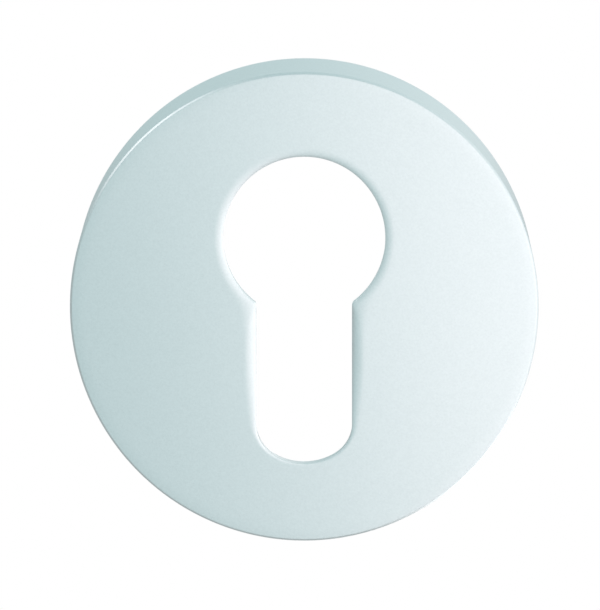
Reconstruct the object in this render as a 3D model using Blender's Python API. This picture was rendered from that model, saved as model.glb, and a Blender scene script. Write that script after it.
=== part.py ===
"""Round clip-on escutcheon for a euro profile lock cylinder.

Frame: metres. The door plane is Y = 0, the visible face looks along -Y, +Z is up, and the origin
is the rose's axis in the door plane. Lugs and screws reach into the door, towards +Y.
"""
import math

import bmesh
import bpy

# Cover: a shallow aluminium cap.
COVER_RADIUS = 0.0260
COVER_HEIGHT = 0.0080
COVER_FACE = 0.0015
COVER_WALL = 0.0012
COVER_CHAMFER = 0.00022
COVER_INNER_FILLET = 0.0005
RELEASE_NOTCH_WIDTH = 0.0080
RELEASE_NOTCH_DEPTH = 0.0012

# Euro profile opening of the cover: a round lobe over a slot with a flattened round end.
LOBE_RADIUS = 0.0090
LOBE_HEIGHT = 0.0076
SLOT_HALF_WIDTH = 0.0053
SLOT_BOTTOM = -0.0174
SLOT_BOTTOM_RADIUS = 0.0066
SLOT_SHOULDER_RADIUS = 0.0040
ROLL_WIDTH = 0.0012
ROLL_DEPTH = 0.0005

# Base under the cover. Its opening is larger and lower, so it stays hidden behind the cover's.
CLEARANCE = 0.0003
BASE_RADIUS = 0.0244
BASE_RIM_WALL = 0.0011
BASE_LEAD_IN = 0.0004
BASE_FRONT = -0.0062
BASE_FLOOR = -0.0037
BASE_OPENING_MARGIN = 0.0009
BASE_LOBE_EXTRA = 0.0004
BASE_LOBE_DROP = 0.0007
BASE_BOTTOM_DROP = 0.0015

# Weight-saving pockets in the back of the base, between bosses and ribs.
POCKET_DEPTH = 0.0020
POCKET_RADIUS = 0.0229
OPENING_WALL = 0.0014
RIB_WIDTH = 0.0010
RIB_ANGLES = (24, 156, 196, 270, 344)

# Steel plate laid in the base.
PLATE_FRONT = -0.0050
PLATE_THICKNESS = 0.0010

# Support lugs, tapped M4, riveted through base and plate.
LUG_SPACING = 0.0380
LUG_ANGLES = {"lug_right": 0, "lug_left": 180}
LUG_RADIUS = 0.0035
LUG_SEAT_DEPTH = 0.0012
LUG_REACH = 0.0080
LUG_END_CHAMFER = 0.0004
LUG_NECK_RADIUS = 0.0027
LUG_RIVET_RADIUS = 0.0034
LUG_RIVET_HEIGHT = 0.0005
LUG_BORE_RADIUS = 0.00165
LUG_BOSS_RADIUS = 0.0052

# Wood screws, 3.0 x 13 mm, countersunk at 90 degrees with a cross recess.
SCREW_CIRCLE = 0.0189
SCREW_ANGLES = {
    "screw_upper_right": 45,
    "screw_upper_left": 135,
    "screw_lower_left": 235,
    "screw_lower_right": 305,
}
SCREW_LENGTH = 0.0130
SCREW_RADIUS = 0.0015
SCREW_HEAD_RADIUS = 0.0029
SCREW_HEAD_EDGE = 0.0002
SCREW_TIP_LENGTH = 0.0028
SCREW_SINK_ROOM = 0.00035
SCREW_BOSS_RADIUS = 0.0044
RECESS_SPAN = 0.0032
RECESS_BLADE = 0.0007
RECESS_DEPTH = 0.0011
RECESS_TAPER = 0.5

# Spring clips: an arched leaf with a hook at each end, the hooks held under the plate.
CLIP_ANGLES = {"clip_top": 90, "clip_left": 210, "clip_right": 330}
CLIP_CROWN_RADIUS = 0.0245
CLIP_END_RADIUS = 0.0230
CLIP_HALF_LENGTH = 0.0052
CLIP_THICKNESS = 0.0004
CLIP_FRONT = -0.0057
CLIP_BACK = -0.0022
CLIP_HOOK_FRONT = -0.0035
CLIP_HOOK_LENGTH = 0.0014
CLIP_HOOK_INSET = 0.0001
CLIP_TRAVEL = 0.0005
CLIP_BOSS_MARGIN = 0.0022

COVER_SEGMENTS = 96
ROUND_SEGMENTS = 72
SMALL_SEGMENTS = 24
LOBE_STEPS = 29
SHOULDER_STEPS = 5
BOTTOM_STEPS = 7
ROLL_STEPS = 4
FILLET_STEPS = 3
CLIP_STEPS = 12
OVERSHOOT = 0.0010
SHARP_ANGLE = math.radians(30)
TOP = 90.0


# ---------------------------------------------------------------- outlines in the XZ plane

def arc(centre, radius, start, end, steps):
    """Points on an arc, both ends included, angles in radians from +X towards +Z."""
    points = []
    for step in range(steps + 1):
        angle = start + (end - start) * step / steps
        points.append((centre[0] + radius * math.cos(angle), centre[1] + radius * math.sin(angle)))
    return points


def circle(radius, segments):
    """A full circle about the origin."""
    return arc((0.0, 0.0), radius, 0.0, 2 * math.pi, segments)[:-1]


def rectangle(x_low, x_high, z_low, z_high):
    """A rectangle, counterclockwise."""
    return [(x_low, z_low), (x_high, z_low), (x_high, z_high), (x_low, z_high)]


def keyhole(offset, lobe_extra=0.0, lobe_drop=0.0, bottom_drop=0.0):
    """Euro profile outline grown by an offset; the extras enlarge the lobe and lower both ends."""
    lobe_radius = LOBE_RADIUS + offset + lobe_extra
    lobe_centre = (0.0, LOBE_HEIGHT - lobe_drop)
    half = SLOT_HALF_WIDTH + offset
    bottom_radius = SLOT_BOTTOM_RADIUS + offset
    shoulder_radius = SLOT_SHOULDER_RADIUS + offset

    # Each shoulder arc touches a straight side and the bottom arc without a corner.
    bottom_z = SLOT_BOTTOM - offset - bottom_drop + bottom_radius
    shoulder_x = half - shoulder_radius
    shoulder_z = bottom_z - math.sqrt((bottom_radius - shoulder_radius) ** 2 - shoulder_x ** 2)
    meet = math.atan2(shoulder_z - bottom_z, shoulder_x)
    neck = math.asin(half / lobe_radius)

    points = arc(lobe_centre, lobe_radius, neck - math.pi / 2, 1.5 * math.pi - neck, LOBE_STEPS)
    points += arc((-shoulder_x, shoulder_z), shoulder_radius, math.pi, math.pi - meet, SHOULDER_STEPS)
    points += arc((0.0, bottom_z), bottom_radius, math.pi - meet, 2 * math.pi + meet, BOTTOM_STEPS)[1:-1]
    points += arc((shoulder_x, shoulder_z), shoulder_radius, meet, 0.0, SHOULDER_STEPS)
    return points


def base_keyhole(offset=0.0):
    """Opening of the base, grown by an offset."""
    return keyhole(BASE_OPENING_MARGIN + offset, BASE_LOBE_EXTRA, BASE_LOBE_DROP, BASE_BOTTOM_DROP)


def polar(radius, degrees, y=0.0):
    """A place on a circle round the rose's axis."""
    angle = math.radians(degrees)
    return radius * math.cos(angle), y, radius * math.sin(angle)


# ---------------------------------------------------------------- solids

def join_rings(bm, near, far):
    """Faces between two rings of vertices; a ring of one vertex is a point on the axis."""
    for i in range(max(len(near), len(far))):
        j = (i + 1) % max(len(near), len(far))
        if len(near) == 1:
            bm.faces.new((near[0], far[j], far[i]))
        elif len(far) == 1:
            bm.faces.new((near[i], near[j], far[0]))
        else:
            bm.faces.new((near[i], near[j], far[j], far[i]))


def loft(levels):
    """Solid through outlines of equal length, each given as (y, outline)."""
    bm = bmesh.new()
    rings = [[bm.verts.new((x, y, z)) for x, z in outline] for y, outline in levels]
    bm.faces.new(rings[0])
    bm.faces.new(rings[-1])
    for near, far in zip(rings, rings[1:]):
        join_rings(bm, near, far)
    return bm


def prism(outline, y_front, y_back):
    """Outline extruded along Y."""
    return loft([(y_front, outline), (y_back, outline)])


def turned(profile, segments, ring_shaped=False):
    """Solid of revolution about the Y axis from (radius, y) points, with flat ends or a hole."""
    bm = bmesh.new()
    rings = []
    for radius, y in profile:
        outline = circle(radius, segments) if radius else [(0.0, 0.0)]
        rings.append([bm.verts.new((x, y, z)) for x, z in outline])
    following = rings[1:]
    if ring_shaped:
        following.append(rings[0])
    else:
        for ring in (rings[0], rings[-1]):
            if len(ring) > 1:
                bm.faces.new(ring)
    for near, far in zip(rings, following):
        join_rings(bm, near, far)
    return bm


def add(name, bm, material=None, location=(0.0, 0.0, 0.0), degrees=TOP):
    """Object from a bmesh; its local +Z points out from the rose's axis at the given angle."""
    bmesh.ops.recalc_face_normals(bm, faces=bm.faces)
    mesh = bpy.data.meshes.new(name)
    bm.to_mesh(mesh)
    bm.free()
    if material:
        mesh.materials.append(material)
    obj = bpy.data.objects.new(name, mesh)
    bpy.context.collection.objects.link(obj)
    obj.location = location
    obj.rotation_euler = (0.0, math.radians(TOP - degrees), 0.0)
    return obj


def combine(target, tool, operation):
    """Boolean of two objects, made final in the target; the tool is removed."""
    modifier = target.modifiers.new(operation.lower(), "BOOLEAN")
    modifier.operation = operation
    modifier.solver = "EXACT"
    modifier.object = tool
    graph = bpy.context.evaluated_depsgraph_get()
    result = bpy.data.meshes.new_from_object(target.evaluated_get(graph))
    target.modifiers.clear()
    target.data = result
    bpy.data.objects.remove(tool)


def cut(target, bm, location=(0.0, 0.0, 0.0), degrees=TOP):
    """Cut a bmesh solid out of an object."""
    combine(target, add("cutter", bm, None, location, degrees), "DIFFERENCE")


def shade(obj):
    """Smooth shading that keeps real edges crisp."""
    obj.data.shade_smooth()
    obj.data.set_sharp_from_angle(angle=SHARP_ANGLE)


def finish(name, colour, roughness, metallic):
    """Principled material."""
    material = bpy.data.materials.new(name)
    material.use_nodes = True
    shader = material.node_tree.nodes["Principled BSDF"]
    shader.inputs["Base Color"].default_value = (*colour, 1.0)
    shader.inputs["Roughness"].default_value = roughness
    shader.inputs["Metallic"].default_value = metallic
    return material


# ---------------------------------------------------------------- pieces

def make_cover(material):
    """Cap with a chamfered front edge, a rolled opening and a pry-off notch at the bottom."""
    front = -COVER_HEIGHT
    inner_face = front + COVER_FACE
    inner_radius = COVER_RADIUS - COVER_WALL
    fillet = []
    for step in range(FILLET_STEPS + 1):
        angle = math.pi / 2 * step / FILLET_STEPS
        fillet.append((inner_radius - COVER_INNER_FILLET * (1 - math.cos(angle)),
                       inner_face + COVER_INNER_FILLET * (1 - math.sin(angle))))
    cap = [
        (COVER_RADIUS - COVER_CHAMFER, front),
        (COVER_RADIUS, front + COVER_CHAMFER),
        (COVER_RADIUS, 0.0),
        (inner_radius, 0.0),
        *fillet,
    ]
    cover = add("cover", turned(cap, COVER_SEGMENTS), material)

    levels = [(front - OVERSHOOT, keyhole(ROLL_WIDTH))]
    for step in range(ROLL_STEPS + 1):
        angle = math.pi / 2 * step / ROLL_STEPS
        levels.append((front + ROLL_DEPTH * (1 - math.cos(angle)),
                       keyhole(ROLL_WIDTH * (1 - math.sin(angle)))))
    levels.append((inner_face + OVERSHOOT, keyhole(0.0)))
    cut(cover, loft(levels))

    half = RELEASE_NOTCH_WIDTH / 2
    notch = rectangle(-half, half, -COVER_RADIUS - OVERSHOOT, -inner_radius + OVERSHOOT)
    cut(cover, prism(notch, -RELEASE_NOTCH_DEPTH, OVERSHOOT))
    shade(cover)
    return cover


def make_pocket_tool():
    """What the back pockets take away: a disc less the opening's wall, bosses and ribs."""
    tool = add("pockets", prism(circle(POCKET_RADIUS, ROUND_SEGMENTS), -POCKET_DEPTH, OVERSHOOT))
    front = -POCKET_DEPTH - OVERSHOOT
    back = 2 * OVERSHOOT
    cut(tool, prism(base_keyhole(OPENING_WALL), front, back))
    for degrees in SCREW_ANGLES.values():
        boss = prism(circle(SCREW_BOSS_RADIUS, SMALL_SEGMENTS), front, back)
        cut(tool, boss, polar(SCREW_CIRCLE, degrees))
    for degrees in LUG_ANGLES.values():
        boss = prism(circle(LUG_BOSS_RADIUS, SMALL_SEGMENTS), front, back)
        cut(tool, boss, polar(LUG_SPACING / 2, degrees))
    half = clip_window_half() + CLIP_BOSS_MARGIN
    low = clip_hook_floor() - CLIP_BOSS_MARGIN
    for degrees in CLIP_ANGLES.values():
        boss = prism(rectangle(-half, half, low, BASE_RADIUS), front, back)
        cut(tool, boss, degrees=degrees)
    for degrees in RIB_ANGLES:
        rib = rectangle(-RIB_WIDTH / 2, RIB_WIDTH / 2, 0.0, BASE_RADIUS)
        cut(tool, prism(rib, front, back), degrees=degrees)
    return tool


def clip_window_half():
    """Half width of the window that a clip sits in."""
    return CLIP_HALF_LENGTH + 2 * CLEARANCE


def clip_window_floor():
    """Radius of the window's inner side, behind a clip that is pressed in."""
    return CLIP_END_RADIUS - CLIP_THICKNESS - CLIP_TRAVEL - CLEARANCE


def clip_hook_floor():
    """Radius of the hook slots' inner end, behind a clip that is pressed in."""
    return CLIP_END_RADIUS - CLIP_HOOK_LENGTH - CLIP_TRAVEL - CLEARANCE


def clip_window():
    """Outline of a clip's window, for a clip at the top: a U that is open outwards."""
    half = clip_window_half()
    inner_half = CLIP_HALF_LENGTH - CLIP_HOOK_INSET - CLIP_THICKNESS - 2 * CLEARANCE
    outside = BASE_RADIUS + OVERSHOOT
    return [
        (-half, clip_hook_floor()),
        (-inner_half, clip_hook_floor()),
        (-inner_half, clip_window_floor()),
        (inner_half, clip_window_floor()),
        (inner_half, clip_hook_floor()),
        (half, clip_hook_floor()),
        (half, outside),
        (-half, outside),
    ]


def make_under_rose(material):
    """Moulded base: a floor with a side wall, clip windows, holes and pockets in its back."""
    inner_radius = BASE_RADIUS - BASE_RIM_WALL
    dish = [
        (inner_radius, BASE_FLOOR),
        (inner_radius, BASE_FRONT),
        (BASE_RADIUS - BASE_LEAD_IN, BASE_FRONT),
        (BASE_RADIUS, BASE_FRONT + BASE_LEAD_IN),
        (BASE_RADIUS, 0.0),
    ]
    base = add("under_rose", turned(dish, ROUND_SEGMENTS), material)
    cut(base, prism(base_keyhole(), BASE_FLOOR - OVERSHOOT, OVERSHOOT))
    combine(base, make_pocket_tool(), "DIFFERENCE")

    # Screw holes, with a small countersink under the plate.
    hole = SCREW_RADIUS + CLEARANCE
    sink = hole + 2 * CLEARANCE
    screw_hole = [
        (sink, BASE_FLOOR - OVERSHOOT),
        (sink, BASE_FLOOR),
        (hole, BASE_FLOOR + 2 * CLEARANCE),
        (hole, OVERSHOOT),
    ]
    for degrees in SCREW_ANGLES.values():
        cut(base, turned(screw_hole, SMALL_SEGMENTS), polar(SCREW_CIRCLE, degrees))

    # Lug holes, with a counterbore in the back for the lug's shoulder.
    neck = LUG_NECK_RADIUS + CLEARANCE
    seat = LUG_RADIUS + CLEARANCE
    seat_floor = -LUG_SEAT_DEPTH - CLEARANCE
    lug_hole = [
        (neck, BASE_FLOOR - OVERSHOOT),
        (neck, seat_floor),
        (seat, seat_floor),
        (seat, OVERSHOOT),
    ]
    for degrees in LUG_ANGLES.values():
        cut(base, turned(lug_hole, SMALL_SEGMENTS), polar(LUG_SPACING / 2, degrees))

    # Clip windows through the side wall, deeper at both ends for the clip's hooks.
    for degrees in CLIP_ANGLES.values():
        window = prism(clip_window(), BASE_FRONT - OVERSHOOT, CLIP_BACK + CLEARANCE)
        cut(base, window, degrees=degrees)
    shade(base)
    return base


def make_stiffening_plate(material):
    """Round steel plate with the opening, countersunk holes, rivet holes and clip notches."""
    back = PLATE_FRONT + PLATE_THICKNESS
    radius = BASE_RADIUS - BASE_RIM_WALL - CLEARANCE
    plate = add("stiffening_plate", prism(circle(radius, ROUND_SEGMENTS), PLATE_FRONT, back), material)
    before = PLATE_FRONT - OVERSHOOT
    behind = back + OVERSHOOT
    cut(plate, prism(base_keyhole(CLEARANCE), before, behind))

    wide = SCREW_HEAD_RADIUS + SCREW_HEAD_EDGE + SCREW_SINK_ROOM
    sink = [(wide + OVERSHOOT, before), (wide - 2 * OVERSHOOT, behind)]
    for degrees in SCREW_ANGLES.values():
        cut(plate, turned(sink, SMALL_SEGMENTS), polar(SCREW_CIRCLE, degrees))

    for degrees in LUG_ANGLES.values():
        hole = prism(circle(LUG_NECK_RADIUS + CLEARANCE, SMALL_SEGMENTS), before, behind)
        cut(plate, hole, polar(LUG_SPACING / 2, degrees))

    half = CLIP_HALF_LENGTH + CLEARANCE
    for degrees in CLIP_ANGLES.values():
        notch = rectangle(-half, half, clip_window_floor(), BASE_RADIUS)
        cut(plate, prism(notch, before, behind), degrees=degrees)
    shade(plate)
    return plate


def make_lug(name, material, degrees):
    """Turned lug: rivet head in front, neck through plate and base, tapped body behind."""
    rivet_back = PLATE_FRONT - CLEARANCE
    rivet_front = rivet_back - LUG_RIVET_HEIGHT
    profile = [
        (LUG_BORE_RADIUS, rivet_front),
        (LUG_RIVET_RADIUS, rivet_front),
        (LUG_RIVET_RADIUS, rivet_back),
        (LUG_NECK_RADIUS, rivet_back),
        (LUG_NECK_RADIUS, -LUG_SEAT_DEPTH),
        (LUG_RADIUS, -LUG_SEAT_DEPTH),
        (LUG_RADIUS, LUG_REACH - LUG_END_CHAMFER),
        (LUG_RADIUS - LUG_END_CHAMFER, LUG_REACH),
        (LUG_BORE_RADIUS, LUG_REACH),
    ]
    body = turned(profile, SMALL_SEGMENTS, ring_shaped=True)
    lug = add(name, body, material, polar(LUG_SPACING / 2, degrees))
    shade(lug)
    return lug


def make_screw(name, material, degrees):
    """Countersunk wood screw with its head level with the plate's front."""
    cone_end = SCREW_HEAD_EDGE + SCREW_HEAD_RADIUS - SCREW_RADIUS
    profile = [
        (SCREW_HEAD_RADIUS, 0.0),
        (SCREW_HEAD_RADIUS, SCREW_HEAD_EDGE),
        (SCREW_RADIUS, cone_end),
        (SCREW_RADIUS, SCREW_LENGTH - SCREW_TIP_LENGTH),
        (0.0, SCREW_LENGTH),
    ]
    place = polar(SCREW_CIRCLE, degrees, PLATE_FRONT)
    screw = add(name, turned(profile, SMALL_SEGMENTS), material, place)
    half_span = RECESS_SPAN / 2
    half_blade = RECESS_BLADE / 2
    mouth = rectangle(-half_span, half_span, -half_blade, half_blade)
    end = rectangle(-half_span * RECESS_TAPER, half_span * RECESS_TAPER, -half_blade, half_blade)
    for turn in (0.0, TOP):
        cut(screw, loft([(-OVERSHOOT, mouth), (RECESS_DEPTH, end)]), place, turn)
    shade(screw)
    return screw


def make_clip(name, material, degrees):
    """Arched spring leaf whose crown faces outwards, with a narrower hook at each end."""
    sagitta = CLIP_CROWN_RADIUS - CLIP_END_RADIUS
    radius = (CLIP_HALF_LENGTH ** 2 + sagitta ** 2) / (2 * sagitta)
    centre = (0.0, CLIP_CROWN_RADIUS - radius)
    spread = math.asin(CLIP_HALF_LENGTH / radius)
    start = math.pi / 2 - spread
    end = math.pi / 2 + spread
    outer = arc(centre, radius, start, end, CLIP_STEPS)
    inner = arc(centre, radius - CLIP_THICKNESS, end, start, CLIP_STEPS)
    clip = add(name, prism(outer + inner, CLIP_FRONT, CLIP_BACK), material, degrees=degrees)

    hook_out = CLIP_HALF_LENGTH - CLIP_HOOK_INSET
    hook_in = hook_out - CLIP_THICKNESS
    hook_end = CLIP_END_RADIUS - CLIP_HOOK_LENGTH
    for low, high in ((-hook_out, -hook_in), (hook_in, hook_out)):
        hook = prism(rectangle(low, high, hook_end, CLIP_END_RADIUS), CLIP_HOOK_FRONT, CLIP_BACK)
        combine(clip, add("hook", hook, None, degrees=degrees), "UNION")
    shade(clip)
    return clip


def main():
    """Build every piece and gather them under one empty at the rose's axis."""
    for obj in list(bpy.data.objects):
        bpy.data.objects.remove(obj)

    aluminium = finish("satin_aluminium", (0.74, 0.79, 0.80), 0.38, 1.0)
    nylon = finish("glass_filled_nylon", (0.50, 0.505, 0.50), 0.55, 0.0)
    zinc = finish("zinc_plated_steel", (0.60, 0.61, 0.62), 0.34, 1.0)
    spring = finish("spring_steel", (0.52, 0.53, 0.55), 0.25, 1.0)
    turned_steel = finish("turned_steel", (0.66, 0.66, 0.67), 0.28, 1.0)

    pieces = [make_cover(aluminium), make_under_rose(nylon), make_stiffening_plate(zinc)]
    pieces += [make_lug(name, turned_steel, degrees) for name, degrees in LUG_ANGLES.items()]
    pieces += [make_screw(name, zinc, degrees) for name, degrees in SCREW_ANGLES.items()]
    pieces += [make_clip(name, spring, degrees) for name, degrees in CLIP_ANGLES.items()]

    axis = bpy.data.objects.new("rose_axis", None)
    bpy.context.collection.objects.link(axis)
    for piece in pieces:
        piece.parent = axis


main()
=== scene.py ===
"""Looks of the round clip-on escutcheon for a euro profile cylinder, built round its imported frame.

Row frame: metres, door plane at Y = 0, visible face towards -Y, +Z up, rose's axis at X = Z = 0.
Places and overall sizes come from the frame's boxes; the constants below are details the boxes
don't hold. Profiles are (radius, y) points about an axis along Y, and outlines are (x, z) points.
"""

import math

import bmesh
import bpy
import numpy as np
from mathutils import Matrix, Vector


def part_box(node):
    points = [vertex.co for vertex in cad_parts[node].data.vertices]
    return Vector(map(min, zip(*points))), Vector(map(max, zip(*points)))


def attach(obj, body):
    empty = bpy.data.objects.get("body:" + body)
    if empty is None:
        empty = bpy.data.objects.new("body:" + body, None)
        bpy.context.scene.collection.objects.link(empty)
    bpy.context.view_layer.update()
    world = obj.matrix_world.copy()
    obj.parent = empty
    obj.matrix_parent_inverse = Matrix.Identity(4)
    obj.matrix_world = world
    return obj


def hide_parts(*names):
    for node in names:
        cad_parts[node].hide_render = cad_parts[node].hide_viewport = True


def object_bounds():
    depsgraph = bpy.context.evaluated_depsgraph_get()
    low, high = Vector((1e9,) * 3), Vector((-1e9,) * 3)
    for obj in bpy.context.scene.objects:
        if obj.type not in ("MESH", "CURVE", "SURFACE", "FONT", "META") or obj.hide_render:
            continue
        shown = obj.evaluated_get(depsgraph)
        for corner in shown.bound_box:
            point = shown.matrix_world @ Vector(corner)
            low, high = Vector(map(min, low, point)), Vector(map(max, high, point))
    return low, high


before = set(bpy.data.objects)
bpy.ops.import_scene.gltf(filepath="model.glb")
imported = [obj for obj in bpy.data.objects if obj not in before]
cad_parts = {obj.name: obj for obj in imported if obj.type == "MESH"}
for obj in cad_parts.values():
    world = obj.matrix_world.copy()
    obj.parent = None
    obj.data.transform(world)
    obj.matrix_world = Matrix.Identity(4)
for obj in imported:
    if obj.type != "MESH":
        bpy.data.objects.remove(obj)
cad_low, cad_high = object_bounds()

MM = 0.001
MICRON = 0.001 * MM

# Pieces that repeat, and the clips' directions out from the rose's axis: 90 degrees is the top.
SCREWS = ("screw_upper_right", "screw_upper_left", "screw_lower_left", "screw_lower_right")
LUGS = ("lug_left", "lug_right")
CLIPS = {"clip_top": 90.0, "clip_left": 210.0, "clip_right": 330.0}
TOP = 90.0

# Opening of the cover: a round lobe above a slot with a rounded bottom.
LOBE_RADIUS = 9.0 * MM
LOBE_HEIGHT = 7.6 * MM
SLOT_HALF_WIDTH = 5.3 * MM
SLOT_BOTTOM = -17.4 * MM
SLOT_BOTTOM_RADIUS = 6.6 * MM
SLOT_SHOULDER_RADIUS = 4.0 * MM
NECK_BLEND = 0.12 * MM
NECK_BLEND_SPREAD = 1.9

# Rays that all of the cover's rings lie on. They start on the rose's middle plane at one height,
# and the opening's outline is found between a near and a far point by halving the stretch.
RAY_HEIGHT = 3.0 * MM
RAY_NEAR = 2.0 * MM
RAY_FAR = 25.0 * MM
RAY_HALVINGS = 40

# Rolled edge of the opening, as width, depth and the arc it turns through: soft round the lobe,
# deep along the slot's flanks and small at its bottom. One gives way to the next over two zones.
LOBE_ROLL = (1.05 * MM, 0.23 * MM, math.radians(62))
FLANK_ROLL = (1.40 * MM, 0.41 * MM, math.radians(60))
BOTTOM_ROLL = (0.26 * MM, 0.08 * MM, math.radians(60))
NECK_ZONE = (-1.5 * MM, 2.0 * MM)
BOTTOM_ZONE = (-17.5 * MM, -4.0 * MM)

# Throat behind the rolled edge: it widens slightly at first and clearly at the back.
THROAT_DRAFT = 0.04 * MM
THROAT_RELIEF_WIDTH = 0.35 * MM
THROAT_RELIEF_DEPTH = 0.45 * MM

# Cover sections.
COVER_FACE = 1.5 * MM
COVER_WALL = 1.2 * MM
COVER_EDGE = 0.22 * MM
COVER_EDGE_EASE = 0.035 * MM
COVER_SHOULDER_WIDTH = 1.3 * MM
COVER_SHOULDER_DROP = 0.045 * MM
COVER_RIM_EDGE = 0.12 * MM
COVER_INNER_FILLET = 0.5 * MM
NOTCH_WIDTH = 8.0 * MM
NOTCH_DEPTH = 1.2 * MM
NOTCH_FLANK = 0.25 * MM

# Shares of the way at which the cover's skin has rings, close together next to a bend.
ROLL_SHARES = (1.0, 0.985, *np.linspace(0.95, 0.0, 12))
FACE_SHARES = (0.02, 0.15, 0.35, 0.55, 0.75, 0.9, 0.985)
SHOULDER_SHARES = (0.15, 0.4, 0.6, 0.8, 0.93)
WALL_SHARES = (0.03, 0.25, 0.5, 0.75, 0.93, 0.985)
INNER_WALL_SHARES = (0.9, 0.5, 0.05)
UNDERSIDE_SHARES = (0.03, 0.3, 0.6, 0.9, 0.98)

# Eased corners: the wall's shares where its rim starts to round off and where it is halfway, and
# how much of a corner's ease is left at that middle point.
RIM_START = 0.985
RIM_BEND = 0.996
CORNER_EASE = 0.25
RIM_EASE = 0.3

# Base sections.
BASE_RIM_WALL = 1.1 * MM
BASE_LEAD_IN = 0.4 * MM
BASE_FLOOR = -3.7 * MM
BASE_OPENING_MARGIN = 0.9 * MM
BASE_LOBE_EXTRA = 0.4 * MM
BASE_LOBE_DROP = 0.7 * MM
BASE_BOTTOM_DROP = 1.5 * MM
BASE_BEVEL = 0.06 * MM
POCKET_DEPTH = 2.0 * MM
POCKET_RADIUS = 22.9 * MM
OPENING_WALL = 1.4 * MM
RIB_WIDTH = 1.0 * MM
RIB_ANGLES = (24, 156, 196, 270, 344)
SCREW_BOSS_RADIUS = 4.4 * MM
LUG_BOSS_RADIUS = 5.2 * MM
CLIP_BOSS_MARGIN = 2.2 * MM

# Gap between pieces, and plate.
GAP = 0.3 * MM
PLATE_BEVEL = 0.07 * MM
SINK_ROOM = 0.35 * MM

# Lugs: rivet head, neck, body and the tapped bore, whose mouths are (outset, depth) points.
LUG_SEAT = 1.2 * MM
LUG_NECK_RADIUS = 2.7 * MM
LUG_RIVET_RADIUS = 3.4 * MM
LUG_RIVET_HEIGHT = 0.5 * MM
LUG_RIVET_ROUND = 0.3 * MM
LUG_RIVET_EASE = 0.08 * MM
LUG_BODY_ROUND = 0.12 * MM
LUG_EDGE = 0.4 * MM
LUG_NECK_EASE = (0.02 * MM, 0.05 * MM)
LUG_EDGE_EASE = (0.03 * MM, 0.05 * MM, 0.02 * MM)
LUG_MOUTH_FRONT = 0.25 * MM
LUG_MOUTH_BACK = ((0.30 * MM, 0.0), (0.22 * MM, 0.03 * MM))
LUG_MOUTH_FLARE = 0.08 * MM
LUG_BORE_RADIUS = 1.65 * MM
LUG_THREAD_DEPTH = 0.30 * MM
LUG_THREAD_PITCH = 0.7 * MM
LUG_THREAD_CREST = 0.5
LUG_THREAD_RINGS_PER_PITCH = 10
LUG_THREAD_RUN_IN = 1 / 6

# Screws: the head's rim as (inset, depth) points, the neck below it as (outset, depth) points, and
# the shank with its thread. Each screw was driven to another turn, in degrees.
SCREW_RADIUS = 1.5 * MM
SCREW_CORE_RADIUS = 1.02 * MM
SCREW_HEAD_EDGE = 0.2 * MM
SCREW_HEAD_RIM = ((0.12 * MM, 0.0), (0.03 * MM, 0.03 * MM), (0.0, 0.09 * MM),
                  (0.0, SCREW_HEAD_EDGE), (0.05 * MM, SCREW_HEAD_EDGE + 0.05 * MM))
SCREW_CONE_SHARES = (0.25, 0.5, 0.75, 0.95)
SCREW_NECK_SHARE = 0.86
SCREW_NECK_EASE = ((0.03 * MM, 0.10 * MM), (0.0, 0.25 * MM))
SCREW_SHANK_START = 0.4 * MM
SCREW_RING_STEP = 0.07 * MM
SCREW_PLAIN_LENGTH = 3.6 * MM
SCREW_TIP_LENGTH = 2.8 * MM
SCREW_TIP_RADIUS = 0.02 * MM
SCREW_TIP_CURVE = 0.75
SCREW_TIP_RIDGE = 1.6
SCREW_PITCH = 1.35 * MM
SCREW_CREST = 0.2
SCREW_FIRST_TURN = 17
SCREW_NEXT_TURN = 38

# Cross recess: sections of each blade as (depth, share of the span, share of the width), and the
# cone in its middle.
RECESS_SPAN = 3.2 * MM
RECESS_BLADE = 0.62 * MM
RECESS_SECTIONS = ((-0.1 * MM, 1.0, 1.15), (0.3 * MM, 0.86, 1.0), (1.1 * MM, 0.4, 0.8))
RECESS_CONE = ((0.95 * MM, -0.1 * MM), (0.75 * MM, 0.35 * MM), (0.25 * MM, 1.35 * MM))

# Clips.
CLIP_THICKNESS = 0.4 * MM
CLIP_HOOK_FRONT = -3.5 * MM
CLIP_HOOK_LENGTH = 1.4 * MM
CLIP_TRAVEL = 0.5 * MM
CLIP_SAGITTA = 1.5 * MM
CLIP_BEND_RADIUS = 0.45 * MM
CLIP_EDGE = 0.09 * MM
CLIP_END_TRIM = 0.06 * MM
CLIP_HOOK_SHARES = (0.3, 0.7, 0.97, 1.0)
CLIP_SPREAD_STEP = 0.002
CLIP_NARROW_START = 0.9
CLIP_NARROW_END = 0.9

# Camera: level, 400 mm in front of the face, with the lens shifted down to the object.
CAMERA_PLACE = Vector((2.8 * MM, -408.0 * MM, 107.5 * MM))
CAMERA_LENS = 212.9
CAMERA_SENSOR = 36.0
CAMERA_SHIFT_X = -0.0483
CAMERA_SHIFT_Y = -1.5862
CAMERA_NEAR = 10.0 * MM
CAMERA_MOVED = 1.0 * MM

# Light: the levels between which the tint changes from cool to neutral, and the surroundings.
DIM_LEVEL = 0.6
BRIGHT_LEVEL = 1.25
DIM_TINT = (0.80, 1.035, 1.045)
BRIGHT_TINT = (0.995, 0.955, 0.965)
LIGHT_KNEE = 0.15
NO_CAP = 9.0
WORLD_LEVEL = 0.785
WORLD_SLOPE = (0.30, 0.06, -0.07)
WORLD_LEAST = 0.40
FLOOR_HALF_WIDTH = 3.0
FLOOR_DROP = 75.0 * MM
FLOOR_COLOUR = (0.95, 1.0, 1.0, 1.0)
FLOOR_LEVEL = 0.5

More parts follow.
